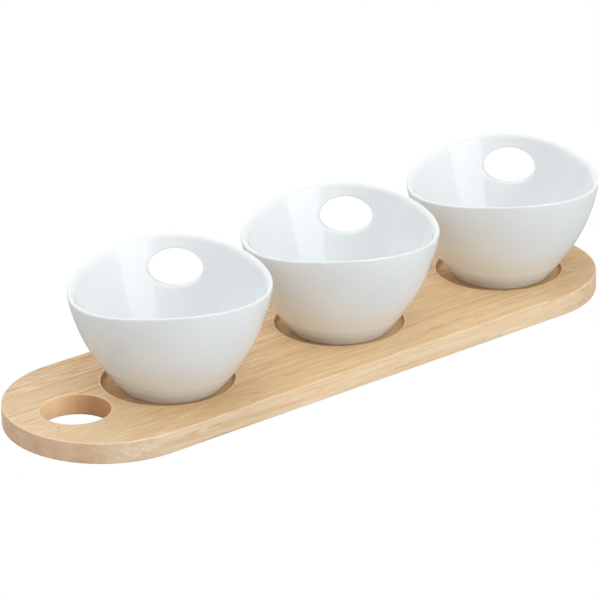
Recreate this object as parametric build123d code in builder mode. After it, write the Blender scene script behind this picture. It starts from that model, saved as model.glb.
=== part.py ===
from build123d import *

import os
from math import cos, radians, sin, tan

# Chip and dip server: a long board with round ends, glued up from three staves,
# that carries three porcelain bowls in shallow round recesses.
# Millimetres. X runs along the board from the finger hole to the plain end, Y runs
# to the back and Z up. The origin is the centre of the board's underside.

# Board
board_length = 455.0
board_width = 130.0
board_thickness = 14.0
board_edge_round = 1.0
end_radius = board_width / 2
same_radius = 0.01  # radii this close are taken as equal when an edge is picked

# Glue lines between the staves, as distances behind the board's centre line
front_glue_line = 17.6
back_glue_line = 39.6

# Finger hole through the board near its left end
finger_hole_radius = 21.8
finger_hole_from_end = 41.0
finger_hole_edge_round = 1.0
finger_hole_x = finger_hole_from_end - board_length / 2

# Recesses that hold the bowls; the last one is concentric with the board's end
recess_radius = 41.8
recess_depth = 3.5
recess_edge_break = 0.6
bowl_pitch = 139.0
last_bowl_x = board_length / 2 - end_radius
bowl_centres_x = [last_bowl_x - bowl_pitch * step for step in (2, 1, 0)]
recess_floor = board_thickness - recess_depth

# Bowl: radii of the outer wall at its heights above the bowl's own foot
foot_radius = 32.2
foot_height = 7.8
foot_top_radius = 38.2
wall_flare = 0.70  # run over rise of the wall where it leaves the foot
lower_wall = (50.4, 26.0)
middle_wall = (58.9, 45.0)
mouth_radius = 63.9
mouth_height = 72.0
blank_height = 78.0

# Bowl: inner wall, which leans outwards up to a thin lip, and its gently dished floor
inner_mouth_radius = 61.4
inner_lean = 0.2  # run over rise of the inner wall at the mouth
inner_upper_wall = (60.05, 66.0)
inner_middle_wall = (54.3, 46.2)
inner_lower_wall = (46.0, 28.0)
inner_corner = (33.6, 11.4)
floor_height = 6.3

# Bowl: hollow under the foot that leaves a ring to stand on
foot_ring_width = 4.5
foot_hollow_depth = 1.6
foot_edge_round = 0.8

# Bowl: the wavy rim is the blank trimmed by a large cylinder lying on its side.
# Its trough runs across the bowl, so the rim is high over the finger slot and at
# the front, and low at the sides.
rim_trim_radius = 275.0
rim_low_height = 65.2
rim_low_shift = -8.0
rim_trim_turn = 7.4
rim_trim_tilt = -1.6
rim_trim_length = 170.0
lip_round = 0.9

# Bowl: oval finger slot through the wall, under the highest part of the rim
slot_height = 54.1
slot_half_width = 17.6
slot_half_height = 11.6
slot_edge_round = 1.2
slot_reach = 90.0

# How far each bowl is turned, from +X towards the back
bowl_turns = (49.0, 46.0, 42.5)
bowl_names = ("finger_hole_bowl", "centre_bowl", "far_end_bowl")

# Where each bowl stands in its roomy recess, measured from the recess's centre
bowl_offsets = ((2.2, -1.4), (0.3, -0.9), (1.5, -0.7))


def board_blank():
    """The whole board before it is parted into staves."""
    with BuildPart() as blank:
        with BuildSketch():
            SlotOverall(board_length, board_width)
        extrude(amount=board_thickness)
        fillet(blank.edges().group_by(Axis.Z)[0], radius=board_edge_round)
        fillet(blank.edges().group_by(Axis.Z)[-1], radius=board_edge_round)

        with Locations((finger_hole_x, 0, 0)):
            Hole(finger_hole_radius)
        bore_rims = blank.edges().filter_by(GeomType.CIRCLE).filter_by(
            lambda edge: abs(edge.radius - finger_hole_radius) < same_radius
        )
        fillet(bore_rims, radius=finger_hole_edge_round)

        with BuildSketch(Plane.XY.offset(recess_floor)):
            with Locations([(x, 0) for x in bowl_centres_x]):
                Circle(recess_radius)
        extrude(amount=recess_depth, mode=Mode.SUBTRACT)
        recess_rims = (
            blank.edges()
            .filter_by(GeomType.CIRCLE)
            .filter_by(lambda edge: abs(edge.radius - recess_radius) < same_radius)
            .group_by(Axis.Z)[-1]
        )
        chamfer(recess_rims, length=recess_edge_break)
    return blank.part


def stave(front, back):
    """The slice of the board between two lines that run along it."""
    with BuildPart() as piece:
        add(board_blank())
        if front > -board_width / 2:
            split(bisect_by=Plane.XZ.offset(-front), keep=Keep.BOTTOM)
        if back < board_width / 2:
            split(bisect_by=Plane.XZ.offset(-back), keep=Keep.TOP)
    return piece


def bowl_blank():
    """The turned bowl with a level top, before its rim and its slot are cut."""
    with BuildPart() as blank:
        with BuildSketch(Plane.XZ):
            with BuildLine():
                foot_side = Line((foot_radius, 0), (foot_top_radius, foot_height))
                outer_wall = Spline(
                    (foot_top_radius, foot_height),
                    lower_wall,
                    middle_wall,
                    (mouth_radius, mouth_height),
                    tangents=((wall_flare, 1), (0, 1)),
                )
                outer_top = Line(outer_wall @ 1, (mouth_radius, blank_height))
                inner_blank_radius = inner_mouth_radius + inner_lean * (blank_height - mouth_height)
                top = Line(outer_top @ 1, (inner_blank_radius, blank_height))
                inner_top = Line(top @ 1, (inner_mouth_radius, mouth_height))
                inner_wall = Spline(
                    inner_top @ 1,
                    inner_upper_wall,
                    inner_middle_wall,
                    inner_lower_wall,
                    inner_corner,
                    (0, floor_height),
                    tangents=((-inner_lean, -1), (-1, 0)),
                )
                ring_inner_radius = foot_radius - foot_ring_width
                axis_line = Line(inner_wall @ 1, (0, foot_hollow_depth))
                hollow_top = Line(axis_line @ 1, (ring_inner_radius - foot_hollow_depth, foot_hollow_depth))
                hollow_side = Line(hollow_top @ 1, (ring_inner_radius, 0))
                Line(hollow_side @ 1, foot_side @ 0)
            make_face()
        revolve(axis=Axis.Z)
        fillet(blank.edges().group_by(Axis.Z)[0], radius=foot_edge_round)
    return blank.part


def bowl(centre_x, centre_y, turn):
    """One bowl in its recess, with its finger slot turned that far towards the back."""
    trim_heading = radians(rim_trim_turn)
    across = Vector(cos(trim_heading), sin(trim_heading), 0)
    trough = Vector(-sin(trim_heading), cos(trim_heading), tan(radians(rim_trim_tilt)))
    trim_centre = across * rim_low_shift + Vector(0, 0, rim_low_height + rim_trim_radius)

    with BuildPart() as blank:
        add(bowl_blank())
        walls_before_trim = blank.edges()
        with Locations(Plane(origin=trim_centre, x_dir=across, z_dir=trough)):
            Cylinder(rim_trim_radius, rim_trim_length, mode=Mode.SUBTRACT)
        rim_edges = blank.edges() - walls_before_trim
        rim_edges = rim_edges.filter_by(lambda edge: edge.length > mouth_radius)
        fillet(rim_edges, radius=lip_round)

        walls_before_slot = blank.edges()
        with BuildSketch(Plane.YZ.offset(slot_reach)):
            with Locations((0, slot_height)):
                Ellipse(slot_half_width, slot_half_height)
        extrude(amount=-slot_reach, mode=Mode.SUBTRACT)
        slot_edges = blank.edges() - walls_before_slot
        fillet(slot_edges, radius=slot_edge_round)

    with BuildPart() as placed:
        with Locations(Location((centre_x, centre_y, recess_floor), (0, 0, turn))):
            add(blank.part)
    return placed


os.makedirs("parts", exist_ok=True)

stave_lines = {
    "front_stave": (-board_width / 2, front_glue_line),
    "middle_stave": (front_glue_line, back_glue_line),
    "back_stave": (back_glue_line, board_width / 2),
}
for stave_name, (front, back) in stave_lines.items():
    piece = stave(front, back)
    piece.part.label = stave_name
    export_step(piece.part, f"parts/{stave_name}.step")

for bowl_name, recess_x, offset, turn in zip(bowl_names, bowl_centres_x, bowl_offsets, bowl_turns):
    offset_x, offset_y = offset
    piece = bowl(recess_x + offset_x, offset_y, turn)
    piece.part.label = bowl_name
    export_step(piece.part, f"parts/{bowl_name}.step")
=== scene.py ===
import math

import bpy
import numpy as np
from mathutils import Matrix, Vector


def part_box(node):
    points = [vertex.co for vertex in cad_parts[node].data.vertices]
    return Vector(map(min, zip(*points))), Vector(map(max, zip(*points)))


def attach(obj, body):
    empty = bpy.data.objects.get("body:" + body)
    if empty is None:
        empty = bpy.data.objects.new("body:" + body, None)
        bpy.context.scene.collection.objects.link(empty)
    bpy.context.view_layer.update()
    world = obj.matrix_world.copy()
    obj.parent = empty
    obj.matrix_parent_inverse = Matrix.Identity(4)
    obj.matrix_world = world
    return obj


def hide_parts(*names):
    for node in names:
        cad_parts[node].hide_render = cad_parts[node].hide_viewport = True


# Chip and dip server: a long board glued up from three staves, and three porcelain bowls that
# stand in its recesses. Metres, in the frame of the CAD: X runs along the board from the finger
# hole to the plain end, Y runs to the back and Z up.

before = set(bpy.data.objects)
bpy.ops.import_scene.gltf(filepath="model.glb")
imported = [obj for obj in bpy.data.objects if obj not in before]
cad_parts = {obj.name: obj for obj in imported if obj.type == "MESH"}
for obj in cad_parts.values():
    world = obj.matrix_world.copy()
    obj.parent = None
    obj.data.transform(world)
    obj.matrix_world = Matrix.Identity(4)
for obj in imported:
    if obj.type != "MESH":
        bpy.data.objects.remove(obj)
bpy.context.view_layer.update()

# --------------------------------------------------------------------- board

# The board's sizes, read from the frame
board_low, board_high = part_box("front_stave")
board_top = board_high.z
board_half_width = -board_low.y
front_glue_y = board_high.y
back_glue_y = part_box("back_stave")[0].y

# The recesses, the last of which is concentric with the plain end, and the finger hole
RECESS_PITCH = 0.139
RECESS_RADIUS = 0.0418
RECESS_MARGIN = 0.003
LAST_RECESS_X = board_high.x - board_half_width
BEFORE_RECESSES_X = LAST_RECESS_X - 2 * RECESS_PITCH - RECESS_RADIUS - RECESS_MARGIN
HOLE_FROM_END = 0.041
HOLE_X = board_low.x + HOLE_FROM_END
HOLE_RADIUS = 0.0218

# ---------------------------------------------------------------- bowl shape

# Each bowl's turn about its own axis, in degrees, from +X to its finger slot
BOWL_TURNS = {"finger_hole_bowl": 49.0, "centre_bowl": 46.0, "far_end_bowl": 42.5}

# Foot; radii and heights are counted from the centre of the bowl's own foot
FOOT_RADIUS = 0.0322
FOOT_TOP = (0.0382, 0.0078)
FOOT_ROUND = 0.0008
RING_WIDTH = 0.0045
HOLLOW_DEPTH = 0.0016
HOLLOW_CORNER = 0.0004  # run and rise of the corner's rounding down the hollow's slanted side
HOLLOW_SLANT = 0.7  # run and rise of the hollow's side over its length, about 45 degrees
# Walls as (radius, height) points, with their directions at both ends
OUTER_POINTS = (FOOT_TOP, (0.0504, 0.026), (0.0589, 0.045), (0.0639, 0.072))
OUTER_START = (0.70, 1.0)
OUTER_END = (0, 1)
INNER_LEAN = 0.2
INNER_POINTS = (
    (0.0614, 0.072), (0.06005, 0.066), (0.0543, 0.0462),
    (0.046, 0.028), (0.0336, 0.0114), (0.0, 0.0063))
INNER_START = (-INNER_LEAN, -1)
INNER_END = (-1, 0)
# Faint crease round the outside: its height, how far the wall stands out just below it, and
# the share of that height in which it gets there
CREASE_Z = 0.0146
CREASE_STEP = 0.00019
CREASE_SHARE = 0.10
# Trough-shaped cut of the rim: radius, lowest height, sideways shift, turn and tilt
RIM_RADIUS = 0.275
RIM_LOW = 0.06506
RIM_SHIFT = -0.008
RIM_TURN = math.radians(7.4)
RIM_TILT = math.radians(-1.6)
# The rim's height at an angle is found in a few passes, starting from a height near it
RIM_GUESS = 0.07
RIM_PASSES = 4
# Lip: the shares of the wall's thickness that its two roundings take, and how many times as
# far down the wall as across it they reach
LIP_OUTSIDE = 0.30
LIP_INSIDE = 0.68
LIP_DROP = 1.5
# Oval finger slot
SLOT_Z = 0.0541
SLOT_HALF_WIDTH = 0.0176
SLOT_HALF_HEIGHT = 0.0116
SLOT_ROUND = 0.0012

# Mesh of a bowl: columns round it and in the window round its slot, and rows and rings up its
# walls, across its floor and round its edges
COLUMNS = 192
WINDOW_COLUMNS = 48
WINDOW_FLOOR = 0.0365  # height of the window's lower edge
WINDOW_ROWS = 24
WINDOW_RINGS = 12
WINDOW_EVENNESS = 0.4  # 0 keeps the border's own spacing round the slot, 1 makes it even
WINDOW_EASE = 1.25  # over 1, the rings lie closer together near the slot
TUNNEL_ROWS = 2
HOLLOW_HUB = 0.003  # radius of the innermost ring of points under the foot
HOLLOW_ROWS = 8
RING_ROWS = 4
FOOT_ROWS = 6
FLOOR_ROWS = 40
LOW_ROWS = 30
CREASE_ROWS = (0, 0.33, 0.67, 1, 1.5)  # heights below the crease, in shares of its step's height
LIP_STEPS = 8
SLOT_STEPS = 5
FOOT_STEPS = 4
HOLLOW_STEPS = 3
SPAN_SAMPLES = 80
SAME_HEIGHT = 1e-5  # points this close to the lowest one belong to the ring that a bowl stands on
WELD_STEPS_PER_METRE = 1e7  # points that round to the same step are welded


def foot_centre(node):
    """The centre of the ring that a bowl of the CAD stands on."""
    points = np.array([vertex.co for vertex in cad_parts[node].data.vertices])
    ring = points[points[:, 2] < points[:, 2].min() + SAME_HEIGHT]
    return (ring.min(axis=0) + ring.max(axis=0)) / 2


def spline_through(points, start, end):
    """A smooth curve through (radius, height) points with given end directions, sampled densely."""
    points = np.array(points, float)
    count = len(points)
    spans = np.hypot(*np.diff(points, axis=0).T)

    # Directions at the points that make the curve bend evenly through each of them
    rows = np.zeros((count, count))
    right = np.zeros((count, 2))
    rows[0, 0] = rows[-1, -1] = 1
    right[0], right[-1] = (np.array(way, float) / np.hypot(*way) for way in (start, end))
    for i in range(1, count - 1):
        before, after = spans[i - 1], spans[i]
        rows[i, i - 1 : i + 2] = 1 / before, 2 / before + 2 / after, 1 / after
        right[i] = 3 * (
            (points[i] - points[i - 1]) / before**2 + (points[i + 1] - points[i]) / after**2)
    ways = np.linalg.solve(rows, right)

    curve = []
    for i, span in enumerate(spans):
        s = np.linspace(0, 1, SPAN_SAMPLES, endpoint=i == count - 2)[:, None]
        curve.append(
            (2 * s**3 - 3 * s**2 + 1) * points[i]
            + (s**3 - 2 * s**2 + s) * span * ways[i]
            + (3 * s**2 - 2 * s**3) * points[i + 1]
            + (s**3 - s**2) * span * ways[i + 1]
        )
    return np.vstack(curve)


OUTER_CURVE = spline_through(OUTER_POINTS, OUTER_START, OUTER_END)
INNER_CURVE = spline_through(INNER_POINTS, INNER_START, INNER_END)


def swell(z):
    """How far the wall stands out under the faint crease above the foot."""
    below = np.clip((CREASE_Z - z) / CREASE_Z, 0, 1)
    return CREASE_STEP * np.minimum(below / CREASE_SHARE, 1) * (1 - below)


def outer_radius(z):
    return np.interp(z, OUTER_CURVE[:, 1], OUTER_CURVE[:, 0]) + swell(z)


def inner_radius(z):
    above = np.maximum(z - INNER_POINTS[0][1], 0)
    return np.interp(z, INNER_CURVE[::-1, 1], INNER_CURVE[::-1, 0]) + INNER_LEAN * above


def rim_height(x, y):
    """Height of the trimmed rim above a point of the bowl's own plan."""
    across = x * math.cos(RIM_TURN) + y * math.sin(RIM_TURN)
    along = y * math.cos(RIM_TURN) - x * math.sin(RIM_TURN)
    drop = np.sqrt(RIM_RADIUS**2 - (across - RIM_SHIFT) ** 2) / math.cos(RIM_TILT)
    return RIM_LOW + RIM_RADIUS + along * math.tan(RIM_TILT) - drop


def rim_at(angles, radius_of):
    """Heights and radii of a wall's top edge at those angles, before the lip is rounded."""
    radii = radius_of(RIM_GUESS)
    for _ in range(RIM_PASSES):
        heights = rim_height(radii * np.cos(angles), radii * np.sin(angles))
        radii = radius_of(heights)
    return heights, radii


def lip_sizes(angles):
    """How far the lip reaches down the outer and the inner wall, and the wall's thickness."""
    thick = rim_at(angles, outer_radius)[1] - rim_at(angles, inner_radius)[1]
    return LIP_OUTSIDE * LIP_DROP * thick, LIP_INSIDE * LIP_DROP * thick, thick


def round_corner(start, corner, end, steps):
    """Points from start to end round a corner, which leave and arrive along the corner's sides."""
    start, corner, end = (np.asarray(point, float) for point in (start, corner, end))
    return [
        start + end - corner + (corner - end) * math.cos(turn) + (corner - start) * math.sin(turn)
        for turn in np.linspace(0, math.pi / 2, steps + 1)
    ]


def lip_rows(angles):
    """Radii and heights of the rounded lip's rows, from the outer wall over to the inner one."""
    outer_z, outer_r = rim_at(angles, outer_radius)
    inner_z, inner_r = rim_at(angles, inner_radius)
    outer_drop, inner_drop, thick = lip_sizes(angles)
    outer_foot = outer_z - outer_drop
    inner_foot = inner_z - inner_drop
    outer_top = outer_r - LIP_OUTSIDE * thick, outer_z + (inner_z - outer_z) * LIP_OUTSIDE
    inner_top = inner_r + LIP_INSIDE * thick, inner_z + (outer_z - inner_z) * LIP_INSIDE
    outside = round_corner(
        (outer_radius(outer_foot), outer_foot), (outer_r, outer_z), outer_top, LIP_STEPS)
    inside = round_corner(
        inner_top, (inner_r, inner_z), (inner_radius(inner_foot), inner_foot), LIP_STEPS)
    return outside + inside


# ----------------------------------------------------------------- bowl mesh


class MeshBuilder:
    """Collects points and faces, and welds what lies in one place."""

    def __init__(self):
        self.points = []
        self.faces = []
        self.slots = []

    def grid(self, rows, flip=False, slot=0, closed=False):
        """Adds quads between rows of points, each row as long as the next."""
        base = len(self.points)
        rows = np.asarray(rows, float)
        count, width = rows.shape[:2]
        self.points.extend(rows.reshape(-1, 3))
        for i in range(count - 1):
            row = base + i * width
            for j in range(width if closed else width - 1):
                k = (j + 1) % width
                face = [row + j, row + k, row + width + k, row + width + j]
                self.faces.append(face[::-1] if flip else face)
                self.slots.append(slot)

    def mesh(self, name):
        """The welded mesh, without the faces that welding leaves with no area."""
        points = np.array(self.points)
        places = np.round(points * WELD_STEPS_PER_METRE).astype(np.int64)
        _, first, which = np.unique(places, axis=0, return_index=True, return_inverse=True)
        order = np.argsort(first)
        number = np.empty_like(order)
        number[order] = np.arange(len(order))
        number = number[which.ravel()]
        faces, slots = [], []
        for face, slot in zip(self.faces, self.slots):
            ring = []
            for vertex in number[face]:
                if not ring or vertex != ring[-1]:
                    ring.append(int(vertex))
            if len(ring) > 1 and ring[0] == ring[-1]:
                ring.pop()
            if len(ring) > 2:
                faces.append(ring)
                slots.append(slot)
        mesh = bpy.data.meshes.new(name)
        mesh.from_pydata(points[first[order]].tolist(), [], faces)
        mesh.polygons.foreach_set("material_index", slots)
        mesh.polygons.foreach_set("use_smooth", [True] * len(faces))
        mesh.update()
        mesh.validate()
        return mesh


def ring_points(angles, radius, z):
    """Points at those angles, with a radius and height for each or for all."""
    radius = np.broadcast_to(radius, angles.shape)
    z = np.broadcast_to(z, angles.shape)
    return np.stack([radius * np.cos(angles), radius * np.sin(angles), z], axis=1)


def turned(profile, angles):
    """Rows of points round the bowl's axis, one row for each (radius, height) of a profile."""
    return [ring_points(angles, radius, z) for radius, z in profile]


def wall_rows(angles, radius_of, top_z):
    """Rows of a wall from the level floor of the slot's window up to a wavy top."""
    shares = np.linspace(0, 1, WINDOW_ROWS + 1)
    heights = [WINDOW_FLOOR + (top_z - WINDOW_FLOOR) * share for share in shares]
    return turned([(radius_of(z), z) for z in heights], angles)


def slot_edge(radius_of, side, tilt):
    """Rows from a wall's surface round the slot's edge into its tunnel, at angles of the oval.

    side is 1 for the outer wall, whose edge turns inwards, and -1 for the inner wall."""
    y = SLOT_HALF_WIDTH * np.cos(tilt)
    z = SLOT_Z + SLOT_HALF_HEIGHT * np.sin(tilt)
    out_y = SLOT_HALF_HEIGHT * np.cos(tilt)
    out_z = SLOT_HALF_WIDTH * np.sin(tilt)
    size = np.hypot(out_y, out_z)

    def on_wall(at_y, at_z):
        return np.stack([np.sqrt(radius_of(at_z) ** 2 - at_y**2), at_y, at_z], axis=1)

    start = on_wall(y + SLOT_ROUND * out_y / size, z + SLOT_ROUND * out_z / size)
    corner = on_wall(y, z)
    end = corner - side * np.array([SLOT_ROUND, 0, 0])
    return round_corner(start, corner, end, SLOT_STEPS)


def slot_window(builder, radius_of, rows, side):
    """Fills a wall from its rows of points up to the slot, and returns the tunnel's first ring."""
    rows = np.asarray(rows)
    bottom, top, left, right = rows[0], rows[-1], rows[:, 0], rows[:, -1]
    border = np.vstack([right[:-1], top[::-1][:-1], left[::-1][:-1], bottom[:-1]])
    sideways = border[:, 1] / SLOT_HALF_WIDTH
    upwards = (border[:, 2] - SLOT_Z) / SLOT_HALF_HEIGHT
    tilt = np.unwrap(np.arctan2(upwards, sideways))
    even = tilt[0] + np.linspace(0, 2 * math.pi, len(border), endpoint=False)
    tilt = (1 - WINDOW_EVENNESS) * tilt + WINDOW_EVENNESS * even
    edge = slot_edge(radius_of, side, tilt)

    # Rings between the edge and the border, each moved sideways onto the wall
    inner = edge[0][:, 1:]
    outer = border[:, 1:]
    rings = []
    for share in np.linspace(0, 1, WINDOW_RINGS + 1):
        flat = inner + (outer - inner) * share**WINDOW_EASE
        depth = np.sqrt(radius_of(flat[:, 1]) ** 2 - flat[:, 0] ** 2)
        rings.append(np.column_stack([depth, flat]))
    rings[-1] = border
    builder.grid(rings, flip=side > 0, closed=True)
    builder.grid(edge, flip=side < 0, closed=True)
    return edge[-1]


def foot_profiles():
    """Profiles of the hollow under the foot, of the ring that it stands on, and of its side."""
    ring_in = FOOT_RADIUS - RING_WIDTH
    hollow = ring_in - HOLLOW_DEPTH
    side_way = np.array(FOOT_TOP) - (FOOT_RADIUS, 0)
    side_way /= np.hypot(*side_way)
    slant = HOLLOW_SLANT * FOOT_ROUND

    flat_start = ring_in + FOOT_ROUND
    flat_end = FOOT_RADIUS - FOOT_ROUND
    side_start = (FOOT_RADIUS, 0) + side_way * FOOT_ROUND
    ring_inside = round_corner((ring_in - slant, slant), (ring_in, 0), (flat_start, 0), FOOT_STEPS)
    ring_outside = round_corner((flat_end, 0), (FOOT_RADIUS, 0), side_start, FOOT_STEPS)
    ring_flat = [(r, 0.0) for r in np.linspace(flat_start, flat_end, RING_ROWS + 1)[1:-1]]

    hollow_radii = np.linspace(HOLLOW_HUB, hollow - FOOT_ROUND, HOLLOW_ROWS + 1)
    hollow_top = [(r, HOLLOW_DEPTH) for r in hollow_radii]
    hollow_corner = round_corner(
        (hollow - FOOT_ROUND, HOLLOW_DEPTH), (hollow, HOLLOW_DEPTH),
        (hollow + HOLLOW_CORNER, HOLLOW_DEPTH - HOLLOW_CORNER), HOLLOW_STEPS)
    under = [(0.0, HOLLOW_DEPTH), *hollow_top, *hollow_corner, ring_inside[0]]

    # The crease's swell fades in over the side's first two rows, so that the side meets the ring
    side = []
    for i, share in enumerate(np.linspace(0, 1, FOOT_ROWS + 1)):
        radius, z = ring_outside[-1] + (FOOT_TOP - ring_outside[-1]) * share
        side.append((radius + swell(z) * min(1, i / 2), z))
    return under, [*ring_inside, *ring_flat, *ring_outside], side


def floor_profile():
    """Profile of the inner wall and floor, from the height of the window down to the middle."""
    below = INNER_CURVE[INNER_CURVE[:, 1] < WINDOW_FLOOR]
    below = np.vstack([[inner_radius(WINDOW_FLOOR), WINDOW_FLOOR], below])
    run = np.concatenate([[0], np.cumsum(np.hypot(*np.diff(below, axis=0).T))])
    at = np.linspace(0, run[-1], FLOOR_ROWS + 1)
    profile = np.column_stack([np.interp(at, run, below[:, 0]), np.interp(at, run, below[:, 1])])
    profile[-1] = (0, INNER_POINTS[-1][1])
    return profile


def bowl_mesh(name):
    """One bowl in its own frame: foot on z = 0, slot towards +X."""
    step = 2 * math.pi / COLUMNS
    window = (np.arange(WINDOW_COLUMNS + 1) - WINDOW_COLUMNS / 2) * step
    rest = window[-1] + np.arange(COLUMNS - WINDOW_COLUMNS + 1) * step
    whole = window[0] + np.arange(COLUMNS) * step
    builder = MeshBuilder()

    under, ring, side = foot_profiles()
    builder.grid(turned(under, whole), closed=True)
    builder.grid(turned(ring, whole), slot=1, closed=True)
    builder.grid(turned(side, whole), closed=True)

    # Lower walls: the outer one with closer rows at the crease, the inner one with the floor
    crease = CREASE_Z * (1 - CREASE_SHARE * np.array(CREASE_ROWS))
    heights = np.union1d(np.linspace(FOOT_TOP[1], WINDOW_FLOOR, LOW_ROWS + 1), crease)
    builder.grid(turned([(outer_radius(z), z) for z in heights], whole), closed=True)
    builder.grid(turned(floor_profile(), whole), closed=True)

    # Upper walls, with the slot in their window, and the lip
    tunnel = []
    for wall, (radius_of, side) in enumerate(((outer_radius, 1), (inner_radius, -1))):
        for angles in (window, rest):
            top_z = rim_at(angles, radius_of)[0] - lip_sizes(angles)[wall]
            rows = wall_rows(angles, radius_of, top_z)
            if angles is window:
                tunnel.append(slot_window(builder, radius_of, rows, side))
            else:
                builder.grid(rows, flip=side < 0)
    outside, inside = tunnel
    shares = np.linspace(0, 1, TUNNEL_ROWS + 1)
    builder.grid([outside + (inside - outside) * share for share in shares], closed=True)
    builder.grid(turned(lip_rows(whole), whole), closed=True)
    return builder.mesh(name)


# ------------------------------------------------------------- material tools

WHITE = (1, 1, 1, 1)
# Sockets of a Mix node that mixes colours
MIX_FACTOR, MIX_A, MIX_B, MIX_RESULT = 0, 6, 7, 2


def linear(*screen):
    """A screen colour, as three levels of 0 to 255, in linear light."""
    light = []
    for level in screen:
        share = level / 255
        light.append(share / 12.92 if share <= 0.04045 else ((share + 0.055) / 1.055) ** 2.4)
    return (*light, 1.0)


class Nodes:
    """A node tree that is built by short calls, most of which return the new node's output."""

    def __init__(self, tree):
        self.tree = tree

    def node(self, kind, inputs=(), **settings):
        made = self.tree.nodes.new(kind)
        for key, value in settings.items():
            setattr(made, key, value)
        for key, value in dict(inputs).items():
            self.plug(made.inputs[key], value)
        return made

    def plug(self, socket, value):
        if isinstance(value, bpy.types.NodeSocket):
            self.tree.links.new(value, socket)
        else:
            socket.default_value = value

    def math(self, operation, a, b=0.0):
        return self.node("ShaderNodeMath", {0: a, 1: b}, operation=operation).outputs[0]

    def plus(self, a, b):
        return self.math("ADD", a, b)

    def minus(self, a, b):
        return self.math("SUBTRACT", a, b)

    def times(self, a, b):
        return self.math("MULTIPLY", a, b)

    def larger(self, a, b):
        return self.math("MAXIMUM", a, b)

    def size(self, a):
        return self.math("ABSOLUTE", a)

    def length(self, a, b):
        return self.math("SQRT", self.plus(self.times(a, a), self.times(b, b)))

    def place(self, of, scale, shift):
        made = self.node("ShaderNodeMapping", {"Vector": of, "Scale": scale, "Location": shift})
        return made.outputs[0]

    def noise(self, vector, scale, detail=2.0, rough=0.5):
        made = self.node("ShaderNodeTexNoise", {
            "Vector": vector, "Scale": scale, "Detail": detail, "Roughness": rough})
        return made.outputs["Fac"]

    def remap(self, value, low, high, to_low=0.0, to_high=1.0, smooth=False):
        """to_low where the value is low, to_high where it is high, and a slope between them."""
        inputs = {
            "Value": value, "From Min": low, "From Max": high, "To Min": to_low, "To Max": to_high}
        slope = "SMOOTHSTEP" if smooth else "LINEAR"
        return self.node("ShaderNodeMapRange", inputs, interpolation_type=slope).outputs["Result"]

    def stretch(self, value, half_width):
        """Spreads the middle of a noise over 0 to 1."""
        return self.remap(value, 0.5 - half_width, 0.5 + half_width)

    def blend(self, amount, a, b):
        inputs = {MIX_FACTOR: amount, MIX_A: a, MIX_B: b}
        made = self.node("ShaderNodeMix", inputs, data_type="RGBA", blend_type="MIX")
        return made.outputs[MIX_RESULT]

    def split(self, vector):
        return tuple(self.node("ShaderNodeSeparateXYZ", {0: vector}).outputs)

    def join(self, x, y, z):
        return self.node("ShaderNodeCombineXYZ", {0: x, 1: y, 2: z}).outputs[0]

    def bump(self, height, distance, strength, under=None):
        inputs = {"Height": height, "Distance": distance, "Strength": strength}
        if under is not None:
            inputs["Normal"] = under
        return self.node("ShaderNodeBump", inputs).outputs[0]

    def as_seen(self, lit, seen):
        """A shader for the light that reaches the object, and another that the camera sees."""
        camera_ray = self.node("ShaderNodeLightPath").outputs["Is Camera Ray"]
        return self.node("ShaderNodeMixShader", {0: camera_ray, 1: lit, 2: seen}).outputs[0]


class Material(Nodes):
    """A node material round one Principled shader."""

    def __init__(self, name):
        self.data = bpy.data.materials.new(name)
        self.data.use_nodes = True
        super().__init__(self.data.node_tree)
        self.shader = self.tree.nodes["Principled BSDF"]

    def set(self, socket, value):
        self.plug(self.shader.inputs[socket], value)


# ---------------------------------------------------------------------- wood

DEEP_ENDS = linear(198, 159, 112)
PALE_ROUND_HOLE = linear(218, 196, 163)
THIN_LINE = linear(194, 136, 80)
PORE = linear(188, 118, 56)
PALE_PORE = linear(250, 233, 200)
STAIN = linear(206, 142, 76)
END_GRAIN = linear(232, 200, 170), linear(214, 178, 145)
END_GRAIN_DOT = linear(168, 116, 78)
GLUE_SHADE = linear(204, 146, 92)
GLUE_LINE = linear(176, 118, 72)
GLUE_PALE = linear(246, 226, 190)
NICK = linear(120, 70, 40)
PALE_SIDE = linear(252, 239, 217)
RECESS_BROWN = linear(166, 124, 84), linear(244, 196, 138)  # at the left and the right of a recess
# Painted shade of the hole's wall
HOLE_WALL = linear(198, 144, 100), linear(255, 222, 176)  # facing the finger-hole end, and elsewhere
# Painted highlight on the rims of the recesses and the hole
RIM_HIGHLIGHT = linear(252, 232, 196)
# Painted highlight along the rounded edges
EDGE_HIGHLIGHT = linear(253, 236, 206)

# Growth bands per metre, and how far the grain wanders sideways, slowly and quickly
BANDS = 170.0
SWAY = 0.009
WAVER = 0.0014
# Where along X the colours of the ends and of the wood round the hole set in and are full
RIGHT_END = 0.125, 0.205
LEFT_END = -0.050, -0.120
ROUND_HOLE = -0.120, -0.205
# Distances over which the colours of a glue line and of the nick fade
GLUE_SHADE_FADE = 0.0003, 0.0034
GLUE_LINE_FADE = 0.0002, 0.0008
GLUE_PALE_FADE = 0.0003, 0.0012
NICK_FADE = 0.0004, 0.0007
NICK_DRAW = 0.35  # squared shortening of distances along the grain, which draws the nick out
# Brown of the recesses: where it sets in, by radius and by distance along X from the centre,
# and that distance at which its colour is that of the left or of the right
BROWN_RADII = 0.024, 0.035
BROWN_SIDES = 0.014, 0.034
BROWN_REACH = 0.042
# Depth, just below a recess's chamfered rim, at which its brown starts. Then, counted outwards
# from the wall of a recess or of the hole: how far the wall's own colour reaches, where the
# middle of the rim's painted highlight lies and over what distances it fades, and where the
# edges' painted highlight starts
RIM_DEPTH = 0.0009
RECESS_WALL_REACH = 0.0003
RECESS_RIM_OUT = 0.0009
RECESS_RIM_FADE = 0.0002, 0.0006
HOLE_WALL_REACH = 0.0004
HOLE_RIM_OUT = 0.0008
HOLE_RIM_FADE = 0.0002, 0.0005
HOLE_EDGE_REACH = 0.002
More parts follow.
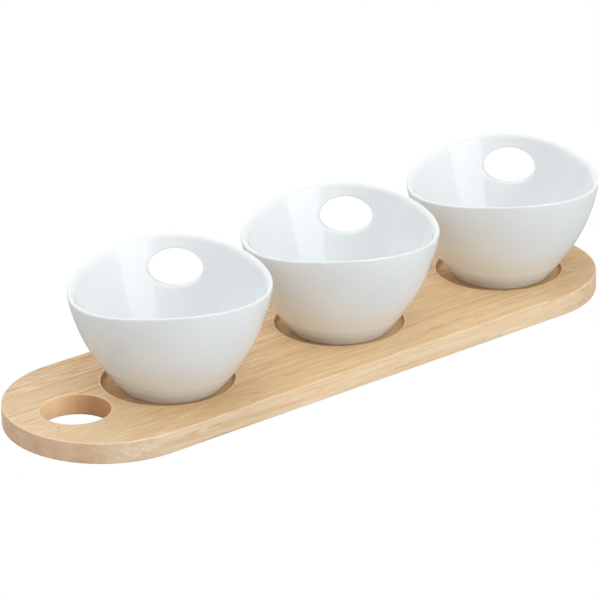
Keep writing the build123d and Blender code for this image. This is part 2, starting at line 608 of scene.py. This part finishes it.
# Oil and relief of the surface
OIL_SPECULAR = 0.38
OIL_ROUGHNESS = 0.42, 0.55
RELIEF_HEIGHT = 0.0001
RELIEF_STRENGTH = 0.5


class Wood(Material):
    """Solid wood with its grain along X; each method lays one more feature over its colour.

    A remap of a noise picks how much of the noise shows, and how strongly."""

    def __init__(self, name, shift):
        """shift moves every noise, so that no two staves are alike."""
        super().__init__(name)
        coords = self.node("ShaderNodeTexCoord")
        self.here = coords.outputs["Object"]
        self.x, self.y, self.z = self.split(self.here)
        self.facing_x, self.facing_y, self.facing_z = self.split(coords.outputs["Normal"])
        self.shift = shift

        # The grain sways a few millimetres sideways on its way along the board
        sway = self.noise(self.place(self.here, (1, 0.25, 0.25), shift), 6.0)
        waver = self.noise(self.place(self.here, (1, 0.6, 0.6), shift), 24.0)
        sway = self.times(self.minus(sway, 0.5), SWAY)
        waver = self.times(self.minus(waver, 0.5), WAVER)
        self.grain_y = self.plus(self.y, self.plus(sway, waver))

    def along(self, x_scale, cross_scale, offset, detail, rough=0.5):
        """Noise drawn out along the grain; the scales are cells per metre."""
        at = self.join(
            self.times(self.x, x_scale),
            self.times(self.grain_y, cross_scale),
            self.plus(self.times(self.z, cross_scale), offset))
        return self.noise(at, 1.0, detail, rough)

    def paint(self, amount, colour):
        """Lays a colour over what the wood has so far."""
        self.colour = self.blend(amount, self.colour, colour)

    def streaks(self, pith, contrast, light, dark):
        """Growth bands round the pith's (y, z), broad streaks, lines and fibres."""
        ring = self.length(self.minus(self.grain_y, pith[0]), self.minus(self.z, pith[1]))
        round_pith = self.join(self.times(self.x, 1.5), self.times(ring, BANDS), self.shift[2])
        bands = self.noise(round_pith, 1.0)
        broad = self.along(2.2, 95.0, self.shift[1] + 3.0, 2.0)
        self.lines = self.along(19.0, 540.0, self.shift[0], 3.0, 0.6)
        self.fibre = self.along(42.0, 1500.0, self.shift[1], 2.0, 0.6)
        tone = 0.0
        for layer, half_width, weight in (
            (bands, 0.16, 0.24),
            (broad, 0.14, 0.24),
            (self.lines, 0.16, 0.36),
            (self.fibre, 0.22, 0.16),
        ):
            tone = self.plus(tone, self.times(self.stretch(layer, half_width), weight))
        self.colour = self.blend(self.stretch(tone, 0.42 / contrast), light, dark)

    def ends(self):
        """The board is a shade deeper towards both ends, and paler round the finger hole."""
        right = self.remap(self.x, *RIGHT_END, 0.0, 0.65, smooth=True)
        left = self.remap(self.x, *LEFT_END, 0.0, 0.55, smooth=True)
        self.paint(self.larger(right, left), DEEP_ENDS)
        self.paint(self.remap(self.x, *ROUND_HOLE, 0.0, 0.55, smooth=True), PALE_ROUND_HOLE)

    def lines_and_pores(self, contrast, pores):
        """Thin darker lines, short orange-brown pores, a few pale ones and some orange stains."""
        patchy = self.along(7.0, 90.0, self.shift[1] + 5.0, 2.0)
        thin = self.remap(self.along(9.0, 1000.0, self.shift[0] + 9.0, 2.0), 0.55, 0.68)
        thin = self.times(thin, self.remap(patchy, 0.42, 0.60, 0.15, 1.0))
        self.paint(self.times(thin, 0.36 * contrast), THIN_LINE)
        level = 0.655 - 0.075 * pores
        short = self.remap(self.along(50.0, 1500.0, self.shift[2] + 21.0, 1.0), level, level + 0.05)
        self.pores = self.times(short, self.remap(patchy, 0.60 - 0.25 * pores, 0.40, 0.2, 1.0))
        self.paint(self.times(self.pores, 0.7), PORE)
        pale = self.remap(self.along(55.0, 1300.0, self.shift[2] + 47.0, 1.0), level, level + 0.07)
        self.paint(self.times(pale, 0.55), PALE_PORE)
        stain = self.along(38.0, 260.0, self.shift[0] + 31.0, 1.0)
        self.paint(self.remap(stain, 0.66, 0.76, 0.0, 0.45), STAIN)

    def end_grain(self):
        """Clouds and dots, where the surface faces along the fibres."""
        self.end = self.remap(self.size(self.facing_x), 0.25, 0.95, smooth=True)
        cloud = self.noise(self.place(self.here, (60, 90, 160), self.shift), 1.0, 3.0)
        dots = self.noise(self.place(self.here, (500, 1500, 1500), self.shift), 1.0)
        colour = self.blend(self.stretch(cloud, 0.15), *END_GRAIN)
        colour = self.blend(self.remap(dots, 0.60, 0.72, 0.0, 0.5), colour, END_GRAIN_DOT)
        self.paint(self.times(self.end, 0.9), colour)

    def glue_lines(self, front_y, back_y, front_strength):
        """A dark line and a patchy brown shade before the joint at back_y, and a pale one behind
        the joint at front_y, seen mostly on the top and the underside."""
        flat = self.remap(self.size(self.facing_z), 0.5, 0.9)
        if back_y is not None:
            off = self.minus(back_y, self.y)
            shade = self.remap(off, *GLUE_SHADE_FADE, 0.62, 0.0, smooth=True)
            patchy = self.along(6.0, 0.0, self.shift[1], 2.0)
            shade = self.times(shade, self.remap(patchy, 0.40, 0.58, 0.25, 1.0))
            self.paint(self.times(shade, flat), GLUE_SHADE)
            seam = self.remap(off, *GLUE_LINE_FADE, 0.5, 0.0)
            self.paint(self.times(seam, self.remap(flat, 0.0, 1.0, 0.35, 1.0)), GLUE_LINE)
        if front_y is not None:
            off = self.minus(self.y, front_y)
            seam = self.remap(off, *GLUE_PALE_FADE, front_strength, 0.0)
            self.paint(self.times(seam, flat), GLUE_PALE)

    def nick(self, centre):
        """A small dark nick, longer along the grain than across it."""
        far_x = self.minus(self.x, centre[0])
        far_y = self.minus(self.y, centre[1])
        squares = self.plus(
            self.times(far_x, self.times(far_x, NICK_DRAW)), self.times(far_y, far_y))
        self.paint(self.remap(self.math("SQRT", squares), *NICK_FADE, 0.75, 0.0), NICK)

    def sides(self):
        """The long sides are a little paler than the top."""
        side = self.remap(self.size(self.facing_y), 0.6, 0.95, smooth=True)
        patchy = self.along(14.0, 330.0, self.shift[1] + 13.0, 2.0)
        self.paint(self.times(side, self.remap(patchy, 0.42, 0.62, 0.18, 0.44)), PALE_SIDE)

    def recesses(self):
        """Browner wood towards the rim of each recess, most at its left and right. It stands in
        for shade that the studio light alone doesn't give."""
        step = self.math("DIVIDE", self.minus(self.x, LAST_RECESS_X), RECESS_PITCH)
        from_x = self.times(self.minus(step, self.math("ROUND", step)), RECESS_PITCH)
        self.from_recess = self.length(from_x, self.y)
        self.has_recess = self.math("GREATER_THAN", self.x, BEFORE_RECESSES_X)
        below_top = self.math("LESS_THAN", self.z, board_top - RIM_DEPTH)
        inside = self.math("LESS_THAN", self.from_recess, RECESS_RADIUS + RECESS_WALL_REACH)
        inside = self.times(inside, self.has_recess)
        patchy = self.along(16.0, 260.0, self.shift[2] + 3.0, 2.0)
        brown = self.remap(patchy, 0.3, 0.7, 0.5, 0.8)
        outwards = self.remap(self.from_recess, *BROWN_RADII, 0.30, 1.0, smooth=True)
        sideways = self.remap(self.size(from_x), *BROWN_SIDES, 0.10, 1.0, smooth=True)
        brown = self.times(self.times(brown, outwards), sideways)
        self.brown = self.times(self.times(inside, below_top), brown)
        left_to_right = self.remap(from_x, -BROWN_REACH, BROWN_REACH)
        self.paint(self.brown, self.blend(left_to_right, *RECESS_BROWN))

    def hole(self):
        """Painted shade on the hole's wall, deepest where it faces the finger-hole end."""
        self.from_hole = self.length(self.minus(self.x, HOLE_X), self.y)
        in_hole = self.math("LESS_THAN", self.from_hole, HOLE_RADIUS + HOLE_WALL_REACH)
        wall = self.blend(self.remap(self.facing_x, -0.9, 0.0), *HOLE_WALL)
        self.paint(self.times(in_hole, 0.85), wall)

    def rims(self):
        """Painted highlights on the rims of the recesses and, fainter, of the hole."""
        recess_rim = self.size(self.minus(self.from_recess, RECESS_RADIUS + RECESS_RIM_OUT))
        recess_rim = self.times(self.remap(recess_rim, *RECESS_RIM_FADE, 1.0, 0.0), self.has_recess)
        hole_rim = self.size(self.minus(self.from_hole, HOLE_RADIUS + HOLE_RIM_OUT))
        hole_rim = self.times(self.remap(hole_rim, *HOLE_RIM_FADE, 1.0, 0.0), 0.5)
        rim = self.times(self.larger(recess_rim, hole_rim), self.remap(self.facing_z, 0.3, 0.7))
        self.paint(self.times(rim, 0.45), RIM_HIGHLIGHT)

    def edges(self):
        """A patchy painted highlight on the rounded edges, most on end grain, none at the hole."""
        up = self.size(self.facing_z)
        above_side = self.remap(up, 0.55, 0.70, smooth=True)
        below_top = self.remap(up, 0.97, 0.90, smooth=True)
        off_hole = self.math("GREATER_THAN", self.from_hole, HOLE_RADIUS + HOLE_EDGE_REACH)
        arris = self.times(self.times(above_side, below_top), off_hole)
        highlight = self.remap(self.along(20.0, 0.0, self.shift[0], 3.0), 0.42, 0.58, 0.05, 0.75)
        highlight = self.larger(highlight, self.remap(self.size(self.facing_x), 0.15, 0.4, 0.0, 0.55))
        self.paint(self.times(arris, highlight), EDGE_HIGHLIGHT)

    def surface(self):
        """Thin clear oil over the fibres: satin, and duller on end grain and the recesses' brown."""
        roughness = self.remap(self.fibre, 0.3, 0.7, *OIL_ROUGHNESS)
        duller = self.larger(self.times(self.end, 0.12), self.times(self.brown, 0.25))
        ridges = self.plus(self.times(self.fibre, 0.5), self.times(self.lines, 0.3))
        relief = self.minus(ridges, self.times(self.pores, 0.6))
        self.set("Base Color", self.colour)
        self.set("Roughness", self.plus(roughness, duller))
        self.set("Specular IOR Level", OIL_SPECULAR)
        self.set("Normal", self.bump(relief, RELIEF_HEIGHT, RELIEF_STRENGTH))


def stave_wood(name, pith, shift, contrast, pores, light, dark,
               front_y=None, back_y=None, front_strength=0.6, nick=None):
    """The wood of one stave, with a glue line at each neighbour, in front or at the back."""
    wood = Wood(name, shift)
    wood.streaks(pith, contrast, light, dark)
    wood.ends()
    wood.lines_and_pores(contrast, pores)
    wood.end_grain()
    wood.glue_lines(front_y, back_y, front_strength)
    if nick is not None:
        wood.nick(nick)
    wood.sides()
    wood.recesses()
    wood.hole()
    wood.rims()
    wood.edges()
    wood.surface()
    return wood.data


# ----------------------------------------------------------------- porcelain

GLAZE = linear(236, 240, 241), linear(233, 237, 238)
GLAZE_FLECK = linear(176, 170, 160)
BARE = linear(226, 221, 211), linear(205, 197, 184)
BARE_GRIT = linear(170, 158, 142)
GLAZE_ROUGHNESS = 0.006, 0.016
GLAZE_IOR = 1.52
BARE_ROUGHNESS = 0.7, 0.9
# Height and strength of the glaze's slow waves, its fine orange peel and the bare ring's grit
WAVES = 0.0004, 0.04
PEEL = 0.00002, 0.08
GRIT = 0.00006, 0.6


def porcelain():
    """Clear-glazed white porcelain with a faintly uneven glaze."""
    glaze = Material("porcelain_glaze")
    here = glaze.node("ShaderNodeTexCoord").outputs["Object"]
    colour = glaze.blend(glaze.stretch(glaze.noise(here, 28.0, 3.0), 0.15), *GLAZE)
    fleck = glaze.remap(glaze.noise(here, 900.0), 0.80, 0.84, 0.0, 0.35)
    glaze.set("Base Color", glaze.blend(fleck, colour, GLAZE_FLECK))
    glaze.set("Roughness", glaze.remap(glaze.noise(here, 75.0), 0.3, 0.7, *GLAZE_ROUGHNESS))
    glaze.set("IOR", GLAZE_IOR)
    waves = glaze.bump(glaze.noise(here, 42.0, 1.0), *WAVES)
    glaze.set("Normal", glaze.bump(glaze.noise(here, 420.0, 1.0), *PEEL, waves))
    return glaze.data


def biscuit():
    """The foot's standing ring, wiped free of glaze: matt, faintly warm and gritty."""
    bare = Material("porcelain_bare_ring")
    here = bare.node("ShaderNodeTexCoord").outputs["Object"]
    grit = bare.noise(here, 1400.0, 3.0, 0.7)
    colour = bare.blend(bare.remap(bare.noise(here, 130.0, 3.0), 0.35, 0.7), *BARE)
    bare.set("Base Color", bare.blend(bare.remap(grit, 0.6, 0.75, 0.0, 0.3), colour, BARE_GRIT))
    bare.set("Roughness", bare.remap(grit, 0.3, 0.7, *BARE_ROUGHNESS))
    bare.set("Normal", bare.bump(grit, *GRIT))
    return bare.data


# -------------------------------------------------------------------- object

stave_looks = {
    "front_stave": stave_wood(
        "wood_front", pith=(-0.035, -0.075), shift=(3.1, 7.7, 1.3), contrast=1.05, pores=0.4,
        light=linear(250, 221, 176), dark=linear(217, 178, 126),
        back_y=front_glue_y, nick=(-0.2102, -0.0150)),
    "middle_stave": stave_wood(
        "wood_middle", pith=(0.075, -0.055), shift=(11.9, 2.3, 5.9), contrast=1.5, pores=0.6,
        light=linear(247, 216, 170), dark=linear(212, 166, 112),
        front_y=front_glue_y, back_y=back_glue_y, front_strength=0.25),
    "back_stave": stave_wood(
        "wood_back", pith=(0.03, -0.09), shift=(23.7, 13.1, 9.7), contrast=1.4, pores=1.3,
        light=linear(245, 216, 171), dark=linear(216, 176, 124),
        front_y=back_glue_y),
}
for node_name, look in stave_looks.items():
    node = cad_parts[node_name]
    node.data.materials.clear()
    node.data.materials.append(look)

glaze = porcelain()
bare = biscuit()
for body, turn in BOWL_TURNS.items():
    bowl = bpy.data.objects.new(f"{body}_porcelain", bowl_mesh(f"{body}_porcelain"))
    bpy.context.scene.collection.objects.link(bowl)
    bowl.data.transform(
        Matrix.Translation(foot_centre(body)) @ Matrix.Rotation(math.radians(turn), 4, "Z"))
    bowl.data.materials.append(glaze)
    bowl.data.materials.append(bare)
    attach(bowl, body)
    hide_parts(body)

# --------------------------------------------------------------------- floor

FLOOR_REACH = 30.0
FLOOR_DROP = 0.0002
FLOOR_GREY = 0.51

corners = ((-1, -1), (1, -1), (1, 1), (-1, 1))
floor_corners = [(x * FLOOR_REACH, y * FLOOR_REACH, 0) for x, y in corners]
floor_mesh = bpy.data.meshes.new("studio_floor")
floor_mesh.from_pydata(floor_corners, [], [(0, 1, 2, 3)])
floor = bpy.data.objects.new("studio_floor", floor_mesh)
floor.location.z = -FLOOR_DROP
bpy.context.scene.collection.objects.link(floor)

# Pure white paper to the camera, and matt grey to all other light
floor_look = Material("studio_floor")
floor_look.set("Base Color", (FLOOR_GREY, FLOOR_GREY, FLOOR_GREY, 1))
floor_look.set("Roughness", 0.9)
floor_look.set("Specular IOR Level", 0.0)
paper = floor_look.node("ShaderNodeEmission", {"Color": WHITE, "Strength": 1.0})
floor_surface = floor_look.as_seen(floor_look.shader.outputs[0], paper.outputs[0])
floor_look.plug(floor_look.tree.nodes["Material Output"].inputs["Surface"], floor_surface)
floor_mesh.materials.append(floor_look.data)

# --------------------------------------------------------------------- light

# A light tent: its even glow, what is added to that overhead and below, towards +X and
# towards +Y, and the least that is left of it
TENT_GLOW = 0.56
TENT_OVERHEAD = 0.66
TENT_RIGHT = -0.23
TENT_BEHIND = 0.58
TENT_LEAST = 0.03

world = bpy.data.worlds.new("studio")
bpy.context.scene.world = world
world.use_nodes = True
room = Nodes(world.node_tree)
sky_x, sky_y, sky_z = room.split(room.node("ShaderNodeTexCoord").outputs["Generated"])


def towards(heading):
    """How far a direction points along a level heading, in degrees from +X."""
    turn = math.radians(heading)
    return room.plus(room.times(sky_x, math.cos(turn)), room.times(sky_y, math.sin(turn)))


def lobe(heading, power):
    """A soft lobe of light round a level heading."""
    return room.math("POWER", room.larger(towards(heading), 0.0), power)


def panel(heading, half_width, lowest, highest, soft):
    """An even panel round a level heading between two heights; all angles are in degrees."""
    def height(angle):
        return math.sin(math.radians(angle))

    angle = room.size(room.math("ARCTAN2", towards(heading + 90), towards(heading)))
    inside = room.remap(angle, math.radians(half_width + soft), math.radians(half_width - soft))
    under = room.remap(sky_z, height(highest + soft), height(highest - soft))
    over = room.remap(sky_z, height(lowest - soft), height(lowest + soft))
    return room.times(room.times(inside, under), over)


glow = room.plus(TENT_GLOW, room.times(room.times(sky_z, sky_z), TENT_OVERHEAD))
for part, weight in (
    (sky_x, TENT_RIGHT),
    (sky_y, TENT_BEHIND),
    # A broad light in front of the board, and a dark wall on its left
    (lobe(-75, 2.0), 1.18),
    (lobe(180, 6.0), -0.62),
    # A tall softbox in front of the board, and a smaller one behind it on the left
    (panel(-85.5, half_width=20.5, lowest=-2, highest=45, soft=0.4), 1.64),
    (panel(135, half_width=20, lowest=10, highest=45, soft=3.0), 0.37),
):
    glow = room.plus(glow, room.times(part, weight))
around = room.tree.nodes["Background"]
room.plug(around.inputs["Color"], WHITE)
room.plug(around.inputs["Strength"], room.larger(glow, TENT_LEAST))
backdrop = room.node("ShaderNodeBackground", {"Color": WHITE, "Strength": 1.0})
sky = room.as_seen(around.outputs[0], backdrop.outputs[0])
room.plug(room.tree.nodes["World Output"].inputs["Surface"], sky)

# -------------------------------------------------------------------- camera

AZIMUTH, ELEVATION, ROLL = (math.radians(angle) for angle in (-39.231, 23.4, -0.622))
CAMERA_PLACE = (-1.3002, -1.5816, 0.8990)
SENSOR_WIDTH = 36
LENS = 209.66
SHIFT_X = -0.0024
SHIFT_Y = 0.0536
FAR_CLIP = 100

camera_data = bpy.data.cameras.new("camera")
camera_data.sensor_width = SENSOR_WIDTH
camera_data.lens = LENS
camera_data.shift_x = SHIFT_X
camera_data.shift_y = SHIFT_Y
camera_data.clip_end = FAR_CLIP
camera = bpy.data.objects.new("camera", camera_data)
bpy.context.scene.collection.objects.link(camera)
# The camera's own axes
level = math.cos(ELEVATION)
back = Vector((math.sin(AZIMUTH) * level, -math.cos(AZIMUTH) * level, math.sin(ELEVATION)))
right = Vector((math.cos(AZIMUTH), math.sin(AZIMUTH), 0))
above = back.cross(right)
facing = Matrix((right, above, back)).transposed().to_4x4()
camera.matrix_world = Matrix.Translation(CAMERA_PLACE) @ (facing @ Matrix.Rotation(ROLL, 4, "Z"))
bpy.context.scene.camera = camera
bpy.context.scene.view_settings.view_transform = "Standard"
